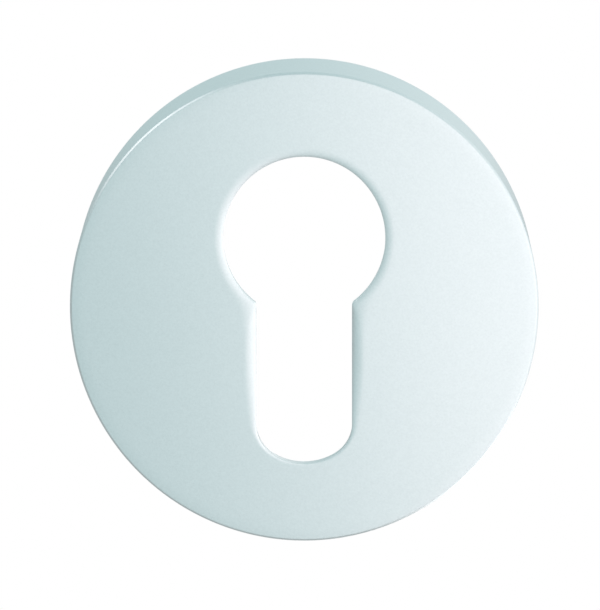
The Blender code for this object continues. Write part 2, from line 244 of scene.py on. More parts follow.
# Smoothness.
COVER_STATIONS = 640
OUTLINE_PROBES = 4000
DISC_SEGMENTS = 144
HOLE_SEGMENTS = 48
LUG_SEGMENTS = 72
SCREW_SEGMENTS = 48
CONE_SEGMENTS = 24
LOBE_STEPS = 97
BOTTOM_STEPS = 17
SHOULDER_STEPS = 12
LEAF_POINTS = 26
BEND_POINTS = 9
BEVEL_SEGMENTS = 2
SHARP = math.radians(32)
COVER_SHARP = math.radians(40)

# How far a cutting tool reaches past what it cuts.
OVERSHOOT = 1.0 * MM


# ---------------------------------------------------------------- meshes

def mesh_object(name, vertices, faces):
    """Object from plain lists, with its faces turned outwards."""
    mesh = bpy.data.meshes.new(name)
    mesh.from_pydata([tuple(map(float, v)) for v in vertices], [], faces)
    bm = bmesh.new()
    bm.from_mesh(mesh)
    bmesh.ops.recalc_face_normals(bm, faces=bm.faces)
    bm.to_mesh(mesh)
    bm.free()
    mesh.shade_smooth()
    obj = bpy.data.objects.new(name, mesh)
    bpy.context.scene.collection.objects.link(obj)
    return obj


def ring_grid(name, rings, joined=False):
    """Skin over rings of equal length. Ends are capped, or joined to each other."""
    count = len(rings[0])
    vertices = np.concatenate(rings)
    faces = []
    pairs = [(k, k + 1) for k in range(len(rings) - 1)]
    if joined:
        pairs.append((len(rings) - 1, 0))
    for a, b in pairs:
        for i in range(count):
            j = (i + 1) % count
            faces.append((a * count + i, a * count + j, b * count + j, b * count + i))
    if not joined:
        faces.append(tuple(range(count)))
        faces.append(tuple((len(rings) - 1) * count + i for i in range(count)))
    return mesh_object(name, vertices, faces)


def circle_turns(segments):
    """Evenly spaced angles round a circle."""
    return np.linspace(0.0, 2 * math.pi, segments, endpoint=False)


def circle_xz(radius, segments):
    """Points on a circle about the Y axis; the radius may differ from point to point."""
    turn = circle_turns(segments)
    return radius * np.cos(turn), radius * np.sin(turn)


def ring(x, z, y):
    """Ring of points from X and Z arrays at one height or at an array of heights."""
    return np.column_stack([x, np.broadcast_to(y, np.shape(x)), z])


def turned_rings(profile, segments):
    """Rings about the Y axis, one for each point of a profile."""
    return [ring(*circle_xz(radius, segments), y) for radius, y in profile]


def turned(name, profile, segments):
    """Solid of revolution about the Y axis."""
    return ring_grid(name, turned_rings(profile, segments))


def prism(name, outline, y_front, y_back):
    """Outline extruded along Y."""
    x, z = np.array(outline).T
    return ring_grid(name, [ring(x, z, y_front), ring(x, z, y_back)])


def rectangle(x_low, x_high, z_low, z_high):
    """Rectangle outline."""
    return [(x_low, z_low), (x_high, z_low), (x_high, z_high), (x_low, z_high)]


def disc_outline(radius, segments=HOLE_SEGMENTS):
    """Circle outline."""
    return list(zip(*circle_xz(radius, segments)))


def fillet(centre_radius, centre_y, size, start, end, steps):
    """Profile points on a small arc, angles in degrees from +radius towards +Y."""
    points = []
    for step in range(steps + 1):
        angle = math.radians(start + (end - start) * step / steps)
        points.append((centre_radius + size * math.cos(angle), centre_y + size * math.sin(angle)))
    return points


def place(obj, x=0.0, y=0.0, z=0.0, degrees=TOP):
    """Move an object, and turn its local +Z to point out from the rose's axis."""
    obj.location = (x, y, z)
    obj.rotation_euler = (0.0, math.radians(TOP - degrees), 0.0)
    return obj


def cut(target, tool):
    """Take a tool's volume away from the target for good; the tool is removed."""
    modifier = target.modifiers.new("cut", "BOOLEAN")
    modifier.operation = "DIFFERENCE"
    modifier.solver = "EXACT"
    modifier.object = tool
    graph = bpy.context.evaluated_depsgraph_get()
    result = bpy.data.meshes.new_from_object(target.evaluated_get(graph))
    target.modifiers.clear()
    target.data = result
    bpy.data.objects.remove(tool)


def cut_at(target, nodes, make_tool):
    """Cut a fresh tool at the middle of each of some CAD nodes."""
    for node in nodes:
        x, z = middle(node)
        cut(target, place(make_tool(), x, 0.0, z))


def cut_towards(target, directions, make_tool):
    """Cut a fresh tool that is turned towards each of some directions, in degrees."""
    for degrees in directions:
        cut(target, place(make_tool(), degrees=degrees))


def flatten(obj):
    """Large faces lead the shading, so that small fillets don't tint them."""
    obj.data.shade_smooth()
    weighted = obj.modifiers.new("shading", "WEIGHTED_NORMAL")
    weighted.keep_sharp = True
    return obj


def soften(obj, width):
    """Small rounded edges, with flat faces kept flat."""
    bevel = obj.modifiers.new("edges", "BEVEL")
    bevel.width = width
    bevel.segments = BEVEL_SEGMENTS
    bevel.limit_method = "ANGLE"
    bevel.angle_limit = SHARP
    bevel.use_clamp_overlap = False
    return flatten(obj)


def middle(node):
    """X and Z of a CAD node's middle."""
    low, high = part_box(node)
    centre = (low + high) / 2
    return centre.x, centre.z


# ---------------------------------------------------------------- euro profile opening

def slot_centres(offset=0.0, drop=0.0):
    """Centres of the slot's bottom and shoulder arcs, and the angle at which they meet."""
    bottom_radius = SLOT_BOTTOM_RADIUS + offset
    shoulder_radius = SLOT_SHOULDER_RADIUS + offset
    bottom_z = SLOT_BOTTOM - offset - drop + bottom_radius
    shoulder_x = SLOT_HALF_WIDTH + offset - shoulder_radius
    shoulder_z = bottom_z - math.sqrt((bottom_radius - shoulder_radius) ** 2 - shoulder_x ** 2)
    meet = math.atan2(shoulder_z - bottom_z, shoulder_x)
    return bottom_z, shoulder_x, shoulder_z, meet


def euro_distance(x, z, blend):
    """Distance out of the opening's throat; a blend rounds the corners between lobe and slot."""
    bottom_z, shoulder_x, shoulder_z, meet = slot_centres()
    x = np.abs(x)
    turn = np.arctan2(z - shoulder_z, x - shoulder_x)
    shoulder = np.hypot(x - shoulder_x, z - shoulder_z) - SLOT_SHOULDER_RADIUS
    bottom = np.hypot(x, z - bottom_z) - SLOT_BOTTOM_RADIUS
    side = np.maximum(x - SLOT_HALF_WIDTH, z - LOBE_HEIGHT)
    slot = np.where(turn > 0, side, np.where(turn > meet, shoulder, bottom))
    lobe = np.hypot(x, z - LOBE_HEIGHT) - LOBE_RADIUS
    overlap = np.maximum(blend - np.abs(slot - lobe), 0.0) / blend
    return np.minimum(slot, lobe) - overlap ** 2 * blend / 4


def on_rays(headings, reach):
    """X and Z of the points that lie a reach along the rays."""
    return reach * np.cos(headings), RAY_HEIGHT + reach * np.sin(headings)


def euro_outline(headings, offset):
    """Points on the rays where the distance out of the throat is an offset."""
    blend = NECK_BLEND + NECK_BLEND_SPREAD * np.maximum(offset, 0.0)
    near = np.full(len(headings), RAY_NEAR)
    far = np.full(len(headings), RAY_FAR)
    for _ in range(RAY_HALVINGS):
        halfway = (near + far) / 2
        outside = euro_distance(*on_rays(headings, halfway), blend) > offset
        far = np.where(outside, halfway, far)
        near = np.where(outside, near, halfway)
    return on_rays(headings, near)


def euro_headings(count):
    """Ray headings that space the points evenly along the throat's outline."""
    probes = np.linspace(-math.pi / 2, 1.5 * math.pi, OUTLINE_PROBES + 1)
    x, z = euro_outline(probes, 0.0)
    length = np.concatenate([[0.0], np.cumsum(np.hypot(np.diff(x), np.diff(z)))])
    wanted = np.linspace(0.0, length[-1], count, endpoint=False)
    return np.interp(wanted, length, probes)


def ease(value, low, high):
    """Smooth step from 0 at low to 1 at high."""
    share = np.clip((value - low) / (high - low), 0.0, 1.0)
    return share * share * (3 - 2 * share)


def roll_sizes(headings):
    """Width, depth and arc of the rolled edge at each station."""
    _, z = euro_outline(headings, 0.0)
    lobe_share = ease(z, *NECK_ZONE)
    bottom_share = 1 - ease(z, *BOTTOM_ZONE)
    sizes = []
    for lobe, flank, bottom in zip(LOBE_ROLL, FLANK_ROLL, BOTTOM_ROLL):
        size = flank + (lobe - flank) * lobe_share
        sizes.append(size + (bottom - size) * bottom_share)
    return sizes


def circle_on_rays(headings, radius):
    """Points of a circle about the rose's axis on the same rays."""
    along = RAY_HEIGHT * np.sin(headings)
    return on_rays(headings, -along + np.sqrt(along ** 2 + radius ** 2 - RAY_HEIGHT ** 2))


def base_keyhole(offset=0.0):
    """Outline of the base's opening, counterclockwise: like the cover's, roomier and lower."""
    margin = BASE_OPENING_MARGIN + offset
    lobe_radius = LOBE_RADIUS + margin + BASE_LOBE_EXTRA
    lobe_z = LOBE_HEIGHT - BASE_LOBE_DROP
    neck = math.asin((SLOT_HALF_WIDTH + margin) / lobe_radius)
    bottom_z, shoulder_x, shoulder_z, meet = slot_centres(margin, BASE_BOTTOM_DROP)
    bottom = SLOT_BOTTOM_RADIUS + margin
    shoulder = SLOT_SHOULDER_RADIUS + margin
    half_turn = math.pi
    arcs = (
        (0.0, lobe_z, lobe_radius, neck - half_turn / 2, 1.5 * half_turn - neck, LOBE_STEPS),
        (-shoulder_x, shoulder_z, shoulder, half_turn, half_turn - meet, SHOULDER_STEPS),
        (0.0, bottom_z, bottom, half_turn - meet, 2 * half_turn + meet, BOTTOM_STEPS),
        (shoulder_x, shoulder_z, shoulder, meet, 0.0, SHOULDER_STEPS),
    )
    points = []
    for x, z, radius, start, end, steps in arcs:
        for turn in np.linspace(start, end, steps + 1):
            point = (x + radius * math.cos(turn), z + radius * math.sin(turn))
            if not points or math.dist(point, points[-1]) > MICRON:
                points.append(point)
    return points


# ---------------------------------------------------------------- cover

def outline_ring(headings, offset, y):
    """Ring of the opening's outline, grown by an offset."""
    return ring(*euro_outline(headings, offset), y)


def circle_ring(headings, radius, y):
    """Ring of a circle about the rose's axis."""
    return ring(*circle_on_rays(headings, radius), y)


def rings_between(start, end, shares):
    """Rings at shares of the way from one ring to another."""
    return [start + (end - start) * share for share in shares]


def opening_rings(headings, front, inner_face):
    """Rings from the back of the throat over the rolled edge to the face."""
    rings = [outline_ring(headings, THROAT_RELIEF_WIDTH, inner_face),
             outline_ring(headings, THROAT_DRAFT, inner_face - THROAT_RELIEF_DEPTH)]
    width, depth, arc = roll_sizes(headings)
    for share in ROLL_SHARES:
        turn = arc * share
        offset = width * (1 - np.sin(turn) / np.sin(arc))
        drop = depth * (1 - np.cos(turn)) / (1 - np.cos(arc))
        rings.append(outline_ring(headings, offset, front + drop))
    return rings


def edge_rings(headings, radius, front):
    """Rings of a shoulder that drops ever faster, and of a chamfer with eased corners."""
    shoulder = radius - COVER_EDGE - COVER_EDGE_EASE - COVER_SHOULDER_WIDTH
    rings = []
    for share in SHOULDER_SHARES:
        drop = COVER_SHOULDER_DROP * share ** 2
        rings.append(circle_ring(headings, shoulder + COVER_SHOULDER_WIDTH * share, front + drop))
    small = COVER_EDGE_EASE
    chamfer = ((COVER_EDGE + small, 0.0), (COVER_EDGE, CORNER_EASE * small),
               (COVER_EDGE - small, small), (small, COVER_EDGE - small),
               (CORNER_EASE * small, COVER_EDGE), (0.0, COVER_EDGE + small))
    for inset, drop in chamfer:
        rings.append(circle_ring(headings, radius - inset, front + COVER_SHOULDER_DROP + drop))
    return rings


def release_notch(x, z):
    """How far the back rim is cut away, at points of the rim."""
    share = ease(NOTCH_WIDTH / 2 - np.abs(x), 0.0, NOTCH_FLANK)
    return np.where(z < 0, NOTCH_DEPTH * share, 0.0)


def wall_rings(headings, radius, back, outer_start, inner_start):
    """Rings down the outside of the wall, round its notched rim and up the inside.

    A ring's share runs from 0 at the height where its side of the wall starts to 1 at the rim.
    """
    inner_radius = radius - COVER_WALL
    small = RIM_EASE * COVER_RIM_EDGE
    stops = [(radius, share, outer_start) for share in WALL_SHARES]
    stops += [(radius - small, RIM_BEND, outer_start),
              (radius - COVER_RIM_EDGE, 1.0, outer_start),
              (inner_radius + COVER_RIM_EDGE, 1.0, outer_start),
              (inner_radius + small, RIM_BEND, outer_start),
              (inner_radius, RIM_START, outer_start)]
    stops += [(inner_radius, share, inner_start) for share in INNER_WALL_SHARES]
    rings = []
    for ring_radius, share, start in stops:
        x, z = circle_on_rays(headings, ring_radius)
        rim = back - release_notch(x, z)
        rings.append(ring(x, z, start + (rim - start) * share))
    return rings


def make_cover():
    """Cap skinned over rings that run from the throat over face, edge, wall, rim and inside."""
    low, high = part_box("cover")
    radius, front, back = high.x, low.y, high.y
    inner_face = front + COVER_FACE
    headings = euro_headings(COVER_STATIONS)

    rings = opening_rings(headings, front, inner_face)
    shoulder = radius - COVER_EDGE - COVER_EDGE_EASE - COVER_SHOULDER_WIDTH
    rings += rings_between(rings[-1], circle_ring(headings, shoulder, front), FACE_SHARES)
    rings += edge_rings(headings, radius, front)

    outer_start = front + COVER_SHOULDER_DROP + COVER_EDGE + COVER_EDGE_EASE
    inner_start = inner_face + COVER_INNER_FILLET
    rings += wall_rings(headings, radius, back, outer_start, inner_start)

    fillet_radius = radius - COVER_WALL - COVER_INNER_FILLET
    for r, y in fillet(fillet_radius, inner_start, COVER_INNER_FILLET, 0, -90, 5):
        rings.append(circle_ring(headings, r, y))
    underside = circle_ring(headings, fillet_radius, inner_face)
    rings += rings_between(underside, rings[0], UNDERSIDE_SHARES)

    cover = flatten(ring_grid("cover_shell", rings, joined=True))
    cover.data.set_sharp_from_angle(angle=COVER_SHARP)
    return cover


# ---------------------------------------------------------------- base and plate

def clip_shape():
    """Driving sizes of a clip and its window, from the top clip's box."""
    low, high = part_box("clip_top")
    crown = high.z
    end = crown - CLIP_SAGITTA
    return {"crown": crown, "end": end, "half": high.x, "front": low.y, "back": high.y,
            "window_half": high.x + 2 * GAP,
            "window_floor": end - CLIP_THICKNESS - CLIP_TRAVEL - GAP,
            "hook_floor": end - CLIP_HOOK_LENGTH - CLIP_TRAVEL - GAP}


def clip_window(outside):
    """Outline of the window a clip sits in, for a clip at the top."""
    clip = clip_shape()
    half = clip["window_half"]
    inner_half = clip["half"] - CLIP_THICKNESS - 2 * GAP
    return [(-half, clip["hook_floor"]), (-inner_half, clip["hook_floor"]),
            (-inner_half, clip["window_floor"]), (inner_half, clip["window_floor"]),
            (inner_half, clip["hook_floor"]), (half, clip["hook_floor"]),
            (half, outside), (-half, outside)]


def make_pockets(radius):
    """What the back pockets take away from the base: all but its bosses, ribs and inner wall."""
    front = -POCKET_DEPTH - OVERSHOOT
    back = 2 * OVERSHOOT
    tool = prism("pockets", disc_outline(POCKET_RADIUS, DISC_SEGMENTS), -POCKET_DEPTH, OVERSHOOT)
    cut(tool, prism("wall", base_keyhole(OPENING_WALL), front, back))
    screw_boss = disc_outline(SCREW_BOSS_RADIUS)
    cut_at(tool, SCREWS, lambda: prism("boss", screw_boss, front, back))
    lug_boss = disc_outline(LUG_BOSS_RADIUS)
    cut_at(tool, LUGS, lambda: prism("boss", lug_boss, front, back))
    clip = clip_shape()
    half = clip["window_half"] + CLIP_BOSS_MARGIN
    clip_boss = rectangle(-half, half, clip["hook_floor"] - CLIP_BOSS_MARGIN, radius)
    cut_towards(tool, CLIPS.values(), lambda: prism("boss", clip_boss, front, back))
    rib = rectangle(-RIB_WIDTH / 2, RIB_WIDTH / 2, 0.0, radius)
    cut_towards(tool, RIB_ANGLES, lambda: prism("rib", rib, front, back))
    return tool


def make_base():
    """Moulded base with windows for the clips, holes, and pockets between ribs in its back."""
    low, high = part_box("under_rose")
    radius, front, back = high.x, low.y, high.y
    inner_radius = radius - BASE_RIM_WALL
    before = BASE_FLOOR - OVERSHOOT
    behind = back + OVERSHOOT
    profile = [(inner_radius, BASE_FLOOR), (inner_radius, front), (radius - BASE_LEAD_IN, front),
               (radius, front + BASE_LEAD_IN), (radius, back)]
    base = turned("base_moulding", profile, DISC_SEGMENTS)
    cut(base, prism("opening", base_keyhole(), before, behind))
    cut(base, make_pockets(radius))

    hole = SCREW_RADIUS + GAP
    sink = hole + 2 * GAP
    screw_hole = [(sink, before), (sink, BASE_FLOOR), (hole, BASE_FLOOR + 2 * GAP), (hole, behind)]
    cut_at(base, SCREWS, lambda: turned("hole", screw_hole, HOLE_SEGMENTS))

    neck = LUG_NECK_RADIUS + GAP
    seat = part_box("lug_right")[1].z + GAP
    seat_floor = -LUG_SEAT - GAP
    lug_hole = [(neck, before), (neck, seat_floor), (seat, seat_floor), (seat, behind)]
    cut_at(base, LUGS, lambda: turned("hole", lug_hole, HOLE_SEGMENTS))

    window = clip_window(radius + OVERSHOOT)
    window_back = clip_shape()["back"] + GAP
    cut_towards(base, CLIPS.values(),
                lambda: prism("window", window, front - OVERSHOOT, window_back))
    return soften(base, BASE_BEVEL)


def make_plate():
    """Stamped steel plate: opening, countersinks, rivet holes and clip notches."""
    low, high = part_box("stiffening_plate")
    before = low.y - OVERSHOOT
    behind = high.y + OVERSHOOT
    plate = prism("plate_pressing", disc_outline(high.x, DISC_SEGMENTS), low.y, high.y)
    cut(plate, prism("opening", base_keyhole(GAP), before, behind))

    screw_low, screw_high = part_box("screw_upper_right")
    wide = (screw_high.x - screw_low.x) / 2 + SCREW_HEAD_EDGE + SINK_ROOM
    sink = [(wide + OVERSHOOT, before), (wide - 2 * OVERSHOOT, behind)]
    cut_at(plate, SCREWS, lambda: turned("sink", sink, HOLE_SEGMENTS))
    rivet_hole = disc_outline(LUG_NECK_RADIUS + GAP)
    cut_at(plate, LUGS, lambda: prism("hole", rivet_hole, before, behind))

    clip = clip_shape()
    half = clip["half"] + GAP
    notch = rectangle(-half, half, clip["window_floor"], high.x + OVERSHOOT)
    cut_towards(plate, CLIPS.values(), lambda: prism("notch", notch, before, behind))
    return soften(plate, PLATE_BEVEL)


# ---------------------------------------------------------------- lugs and screws

def threaded_radius(turn, y, core, depth, pitch, crest):
    """Radius of a helical ridge round the Y axis; crest is the ridge's half width in pitches."""
    phase = (y / pitch - turn / (2 * math.pi)) % 1.0 - 0.5
    return core + depth * np.clip(1.0 - np.abs(phase) / crest, 0.0, 1.0)


def lug_profile(radius, front, back, bore):
    """Outside of a lug, from the front mouth of its bore over rivet head, neck and body."""
    rivet_back = front + LUG_RIVET_HEIGHT
    edge_start = back - LUG_EDGE
    neck_out, neck_along = LUG_NECK_EASE
    fine, before_edge, past_edge = LUG_EDGE_EASE
    profile = [(bore + LUG_MOUTH_FRONT, front)]
    profile += fillet(LUG_RIVET_RADIUS - LUG_RIVET_ROUND, front + LUG_RIVET_ROUND,
                      LUG_RIVET_ROUND, -90, 0, 5)
    profile += fillet(LUG_RIVET_RADIUS - LUG_RIVET_EASE, rivet_back - LUG_RIVET_EASE,
                      LUG_RIVET_EASE, 0, 90, 3)
    profile += [(LUG_NECK_RADIUS + neck_out, rivet_back),
                (LUG_NECK_RADIUS, rivet_back + neck_along),
                (LUG_NECK_RADIUS, -LUG_SEAT - neck_along),
                (LUG_NECK_RADIUS + neck_along, -LUG_SEAT)]
    profile += fillet(radius - LUG_BODY_ROUND, -LUG_SEAT + LUG_BODY_ROUND,
                      LUG_BODY_ROUND, -90, 0, 3)
    profile += [(radius, edge_start - before_edge), (radius - fine, edge_start + past_edge),
                (radius - LUG_EDGE + fine, back - fine), (radius - LUG_EDGE - fine, back)]
    profile += [(bore + out, back - depth) for out, depth in LUG_MOUTH_BACK]
    return profile


def make_lug(node, name):
    """Turned lug: crimped rivet head, neck, chamfered body and a bore tapped M4."""
    low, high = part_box(node)
    x, z = middle(node)
    bore = LUG_BORE_RADIUS + LUG_THREAD_DEPTH
    profile = lug_profile((high.x - low.x) / 2, low.y, high.y, bore)
    rings = turned_rings(profile, LUG_SEGMENTS)

    # The thread, from the back: it runs in and out at the ends, where the bore flares a little.
    turn = circle_turns(LUG_SEGMENTS)
    depth = high.y - low.y
    steps = int(depth / (LUG_THREAD_PITCH / LUG_THREAD_RINGS_PER_PITCH))
    for step in range(1, steps):
        y = high.y - depth * step / steps
        from_end = min(step, steps - step)
        run_in = min(1.0, from_end / (steps * LUG_THREAD_RUN_IN))
        mouth = bore + LUG_MOUTH_FLARE if from_end == 1 else bore
        thread = threaded_radius(turn, y, bore, -LUG_THREAD_DEPTH, LUG_THREAD_PITCH,
                                 LUG_THREAD_CREST)
        radius = mouth + (thread - mouth) * run_in
        rings.append(ring(*circle_xz(radius, LUG_SEGMENTS), y))
    return place(flatten(ring_grid(name, rings, joined=True)), x, 0.0, z)


def screw_head_profile(head, cone_end, neck):
    """Rim and cone of a countersunk head, down to the neck below it."""
    profile = [(head - inset, depth) for inset, depth in SCREW_HEAD_RIM]
    for share in SCREW_CONE_SHARES:
        profile.append((head + (SCREW_RADIUS - head) * share,
                        SCREW_HEAD_EDGE + (cone_end - SCREW_HEAD_EDGE) * share))
    profile += [(neck + out, cone_end + depth) for out, depth in SCREW_NECK_EASE]
    return profile


def shank_rings(first, length, neck, start):
    """Rings of a screw's shank: plain at first, then threaded, and pointed at its end."""
    turn = circle_turns(SCREW_SEGMENTS)
    steps = int((length - first) / SCREW_RING_STEP)
    rings = []
    for step in range(steps + 1):
        y = first + (length - first) * step / steps
        taper = min(1.0, (length - y) / SCREW_TIP_LENGTH)
        core = max(SCREW_CORE_RADIUS * taper ** SCREW_TIP_CURVE, SCREW_TIP_RADIUS)
        run_in = min(1.0, max(0.0, (y - SCREW_PLAIN_LENGTH) / SCREW_PITCH))
        plain = neck + (core - neck) * run_in
        ridge = (SCREW_RADIUS - SCREW_CORE_RADIUS) * run_in * min(1.0, SCREW_TIP_RIDGE * taper)
        radius = threaded_radius(turn + start, y, plain, ridge, SCREW_PITCH, SCREW_CREST)
        radius = np.minimum(radius, SCREW_RADIUS)
        rings.append(ring(*circle_xz(radius, SCREW_SEGMENTS), y))
    return rings


def recess_blade():
    """Tapered blade that cuts one slot of a cross recess."""
    rings = []
    for depth, span_share, width_share in RECESS_SECTIONS:
        half_span = RECESS_SPAN / 2 * span_share
        half_width = RECESS_BLADE / 2 * width_share
        section = rectangle(-half_span, half_span, -half_width, half_width)
        rings.append(ring(*np.array(section).T, depth))
    return ring_grid("blade", rings)


def make_screw(node, name, start):
    """Wood screw with a countersunk head, a cross recess and a helical thread."""
    low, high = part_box(node)
    x, z = middle(node)
    head = (high.x - low.x) / 2
    cone_end = SCREW_HEAD_EDGE + head - SCREW_RADIUS
    neck = SCREW_NECK_SHARE * SCREW_RADIUS
    rings = turned_rings(screw_head_profile(head, cone_end, neck), SCREW_SEGMENTS)
    rings += shank_rings(cone_end + SCREW_SHANK_START, high.y - low.y, neck, start)
    screw = ring_grid(name, rings)
    cut_towards(screw, (0.0, 90.0), recess_blade)
    cut(screw, turned("cone", RECESS_CONE, CONE_SEGMENTS))
    screw.data.shade_smooth()
    screw.data.set_sharp_from_angle(angle=SHARP)
    return place(screw, x, low.y, z, degrees=TOP + math.degrees(start))


# ---------------------------------------------------------------- clips

def clip_line(clip):
    """Strip's middle as (x, z, turn) points, and the turn at which the leaf's arch ends.

    The points run from one hook's end over the crown to the other's, for a clip at the top.
    """
    sagitta = clip["crown"] - clip["end"]
    outer_radius = (clip["half"] ** 2 + sagitta ** 2) / (2 * sagitta)
    radius = outer_radius - CLIP_THICKNESS / 2
    centre = clip["crown"] - outer_radius

    # The arch turns until the bend after it ends at the hook's place.
    reach = clip["half"] - CLIP_THICKNESS / 2
    spread = 0.0
    while radius * math.sin(spread) + CLIP_BEND_RADIUS * (1 - math.sin(spread)) < reach:
        spread += CLIP_SPREAD_STEP
    half = []
    for turn in np.linspace(0.0, spread, LEAF_POINTS):
        half.append((radius * math.sin(turn), centre + radius * math.cos(turn), turn))

    bend_x = (radius - CLIP_BEND_RADIUS) * math.sin(spread)
    bend_z = centre + (radius - CLIP_BEND_RADIUS) * math.cos(spread)
    for turn in np.linspace(spread, math.pi / 2, BEND_POINTS)[1:]:
        half.append((bend_x + CLIP_BEND_RADIUS * math.sin(turn),
                     bend_z + CLIP_BEND_RADIUS * math.cos(turn), turn))

    last_x, last_z, _ = half[-1]
    hook_end = clip["end"] - CLIP_HOOK_LENGTH
    for share in CLIP_HOOK_SHARES:
        half.append((last_x, last_z + (hook_end - last_z) * share, math.pi / 2))
    mirrored = [(-x, z, -turn) for x, z, turn in reversed(half[1:])]
    return mirrored + half, spread


def strip_section(half, front, back):
    """Strip's section with rounded edges, as distances out of its middle and heights."""
    out = []
    y = []
    corners = ((1, back - CLIP_EDGE), (1, front + CLIP_EDGE),
               (-1, front + CLIP_EDGE), (-1, back - CLIP_EDGE))
    for number, (side, corner_y) in enumerate(corners):
        corner_out = side * (half - CLIP_EDGE)
        for degrees in (90, 60, 30, 0):
            angle = math.radians(degrees - 90 * number)
            out.append(corner_out + CLIP_EDGE * math.cos(angle))
            y.append(corner_y + CLIP_EDGE * math.sin(angle))
    return np.array(out), np.array(y)


def make_clip(node, name):
    """Spring leaf bent from one strip: an arch with its crown outwards and a hook at each end."""
    clip = clip_shape()
    line, spread = clip_line(clip)
    rings = []
    for index, (x, z, turn) in enumerate(line):
        # The strip narrows from the leaf to the hook as it enters the bend.
        share = float(ease(abs(turn), CLIP_NARROW_START * spread, CLIP_NARROW_END))
        front = clip["front"] + (CLIP_HOOK_FRONT - clip["front"]) * share
        trim = CLIP_END_TRIM if index in (0, len(line) - 1) else 0.0
        out, y = strip_section(CLIP_THICKNESS / 2 - trim, front + trim, clip["back"] - trim)
        rings.append(ring(x + out * math.sin(turn), z + out * math.cos(turn), y))
    leaf = flatten(ring_grid(name, rings))
    return place(leaf, degrees=CLIPS[node])


# ---------------------------------------------------------------- materials

class Shader:
    """Small helper that adds nodes to a material and joins them up."""

    def __init__(self, name):
        self.material = bpy.data.materials.new(name)
        self.material.use_nodes = True
        self.tree = self.material.node_tree
        self.surface = self.tree.nodes["Principled BSDF"]
        self.coords = self.tree.nodes.new("ShaderNodeTexCoord").outputs["Object"]

    def join(self, source, target):
        """Link an output socket to an input socket."""
        self.tree.links.new(source, target)

    def feed(self, value, socket):
        """Give an input socket another socket, a colour or a number."""
        if hasattr(value, "is_linked"):
            self.join(value, socket)
        elif isinstance(value, tuple):
            socket.default_value = (*value, 1.0)
        else:
            socket.default_value = value

    def scaled(self, x=1.0, y=1.0, z=1.0):
        """Object coordinates scaled along each axis, for grain with a direction."""
        node = self.tree.nodes.new("ShaderNodeMapping")
        node.inputs["Scale"].default_value = (x, y, z)
        self.join(self.coords, node.inputs["Vector"])
        return node.outputs["Vector"]

    def noise(self, scale, detail, vector=None):
        """Noise value; the scale is about the number of its waves in a metre."""
        node = self.tree.nodes.new("ShaderNodeTexNoise")
        node.inputs["Scale"].default_value = scale
        node.inputs["Detail"].default_value = detail
        self.join(vector or self.coords, node.inputs["Vector"])
        return node.outputs["Fac"]

    def spread(self, value, low, high, from_low=0.25, from_high=0.75):
        """Map a value range onto another."""
        node = self.tree.nodes.new("ShaderNodeMapRange")
        node.inputs["From Min"].default_value = from_low
        node.inputs["From Max"].default_value = from_high
        node.inputs["To Min"].default_value = low
        node.inputs["To Max"].default_value = high
        self.join(value, node.inputs["Value"])
        return node.outputs["Result"]

    def blend(self, factor, first, second):
        """Mix two colours; each is a colour or a socket."""
        node = self.tree.nodes.new("ShaderNodeMix")
        node.data_type = "RGBA"
        self.feed(factor, node.inputs["Factor"])
        self.feed(first, node.inputs[6])
        self.feed(second, node.inputs[7])
        return node.outputs[2]

    def bump(self, layers):
        """Stack of bumps, each (height, depth, strength)."""
        normal = None
        for height, depth, strength in layers:
            node = self.tree.nodes.new("ShaderNodeBump")
            node.inputs["Strength"].default_value = strength
            node.inputs["Distance"].default_value = depth
            self.join(height, node.inputs["Height"])
            if normal:
                self.join(normal, node.inputs["Normal"])
            normal = node.outputs["Normal"]
        self.join(normal, self.surface.inputs["Normal"])

    def set(self, **values):
        """Set the surface's inputs by name, with underscores for spaces."""
        for key, value in values.items():
            self.feed(value, self.surface.inputs[key.replace("_", " ")])


def satin_anodised():
    """Bead-blasted, clear anodised aluminium: fine even grain and a faint cloudiness."""
    s = Shader("satin_anodised")
    fine = s.noise(9000, 2.0)
    coarse = s.noise(4200, 2.0)
    cloud = s.noise(120, 3.0)
    colour = s.blend(s.spread(fine, 0.0, 1.0), (0.680, 0.742, 0.752), (0.745, 0.808, 0.818))
    colour = s.blend(s.spread(coarse, 0.0, 0.8), colour, (0.775, 0.838, 0.848))
    colour = s.blend(s.spread(cloud, 0.0, 0.25), colour, (0.745, 0.805, 0.820))
    s.set(Base_Color=colour, Metallic=1.0, Roughness=s.spread(fine, 0.40, 0.50))
    s.bump([(coarse, 10 * MICRON, 0.4), (fine, 5 * MICRON, 0.4)])
    return s.material


def moulded_nylon():
    """Light grey glass-filled nylon: eroded mould texture, flow marks and pale fibre flecks."""
    s = Shader("moulded_nylon")
    texture = s.noise(3600, 3.0)
    flow = s.noise(160, 4.0, s.scaled(1.0, 0.4, 2.2))
    fibre = s.noise(5200, 1.0, s.scaled(0.25, 1.0, 1.6))
    colour = s.blend(s.spread(flow, 0.0, 1.0), (0.46, 0.47, 0.47), (0.53, 0.535, 0.53))
    colour = s.blend(s.spread(fibre, 0.0, 0.35, 0.66, 0.74), colour, (0.66, 0.665, 0.66))
    s.set(Base_Color=colour, Roughness=s.spread(flow, 0.44, 0.60), Specular_IOR_Level=0.45)
    s.bump([(flow, 30 * MICRON, 0.25), (texture, 12 * MICRON, 0.6)])
    return s.material


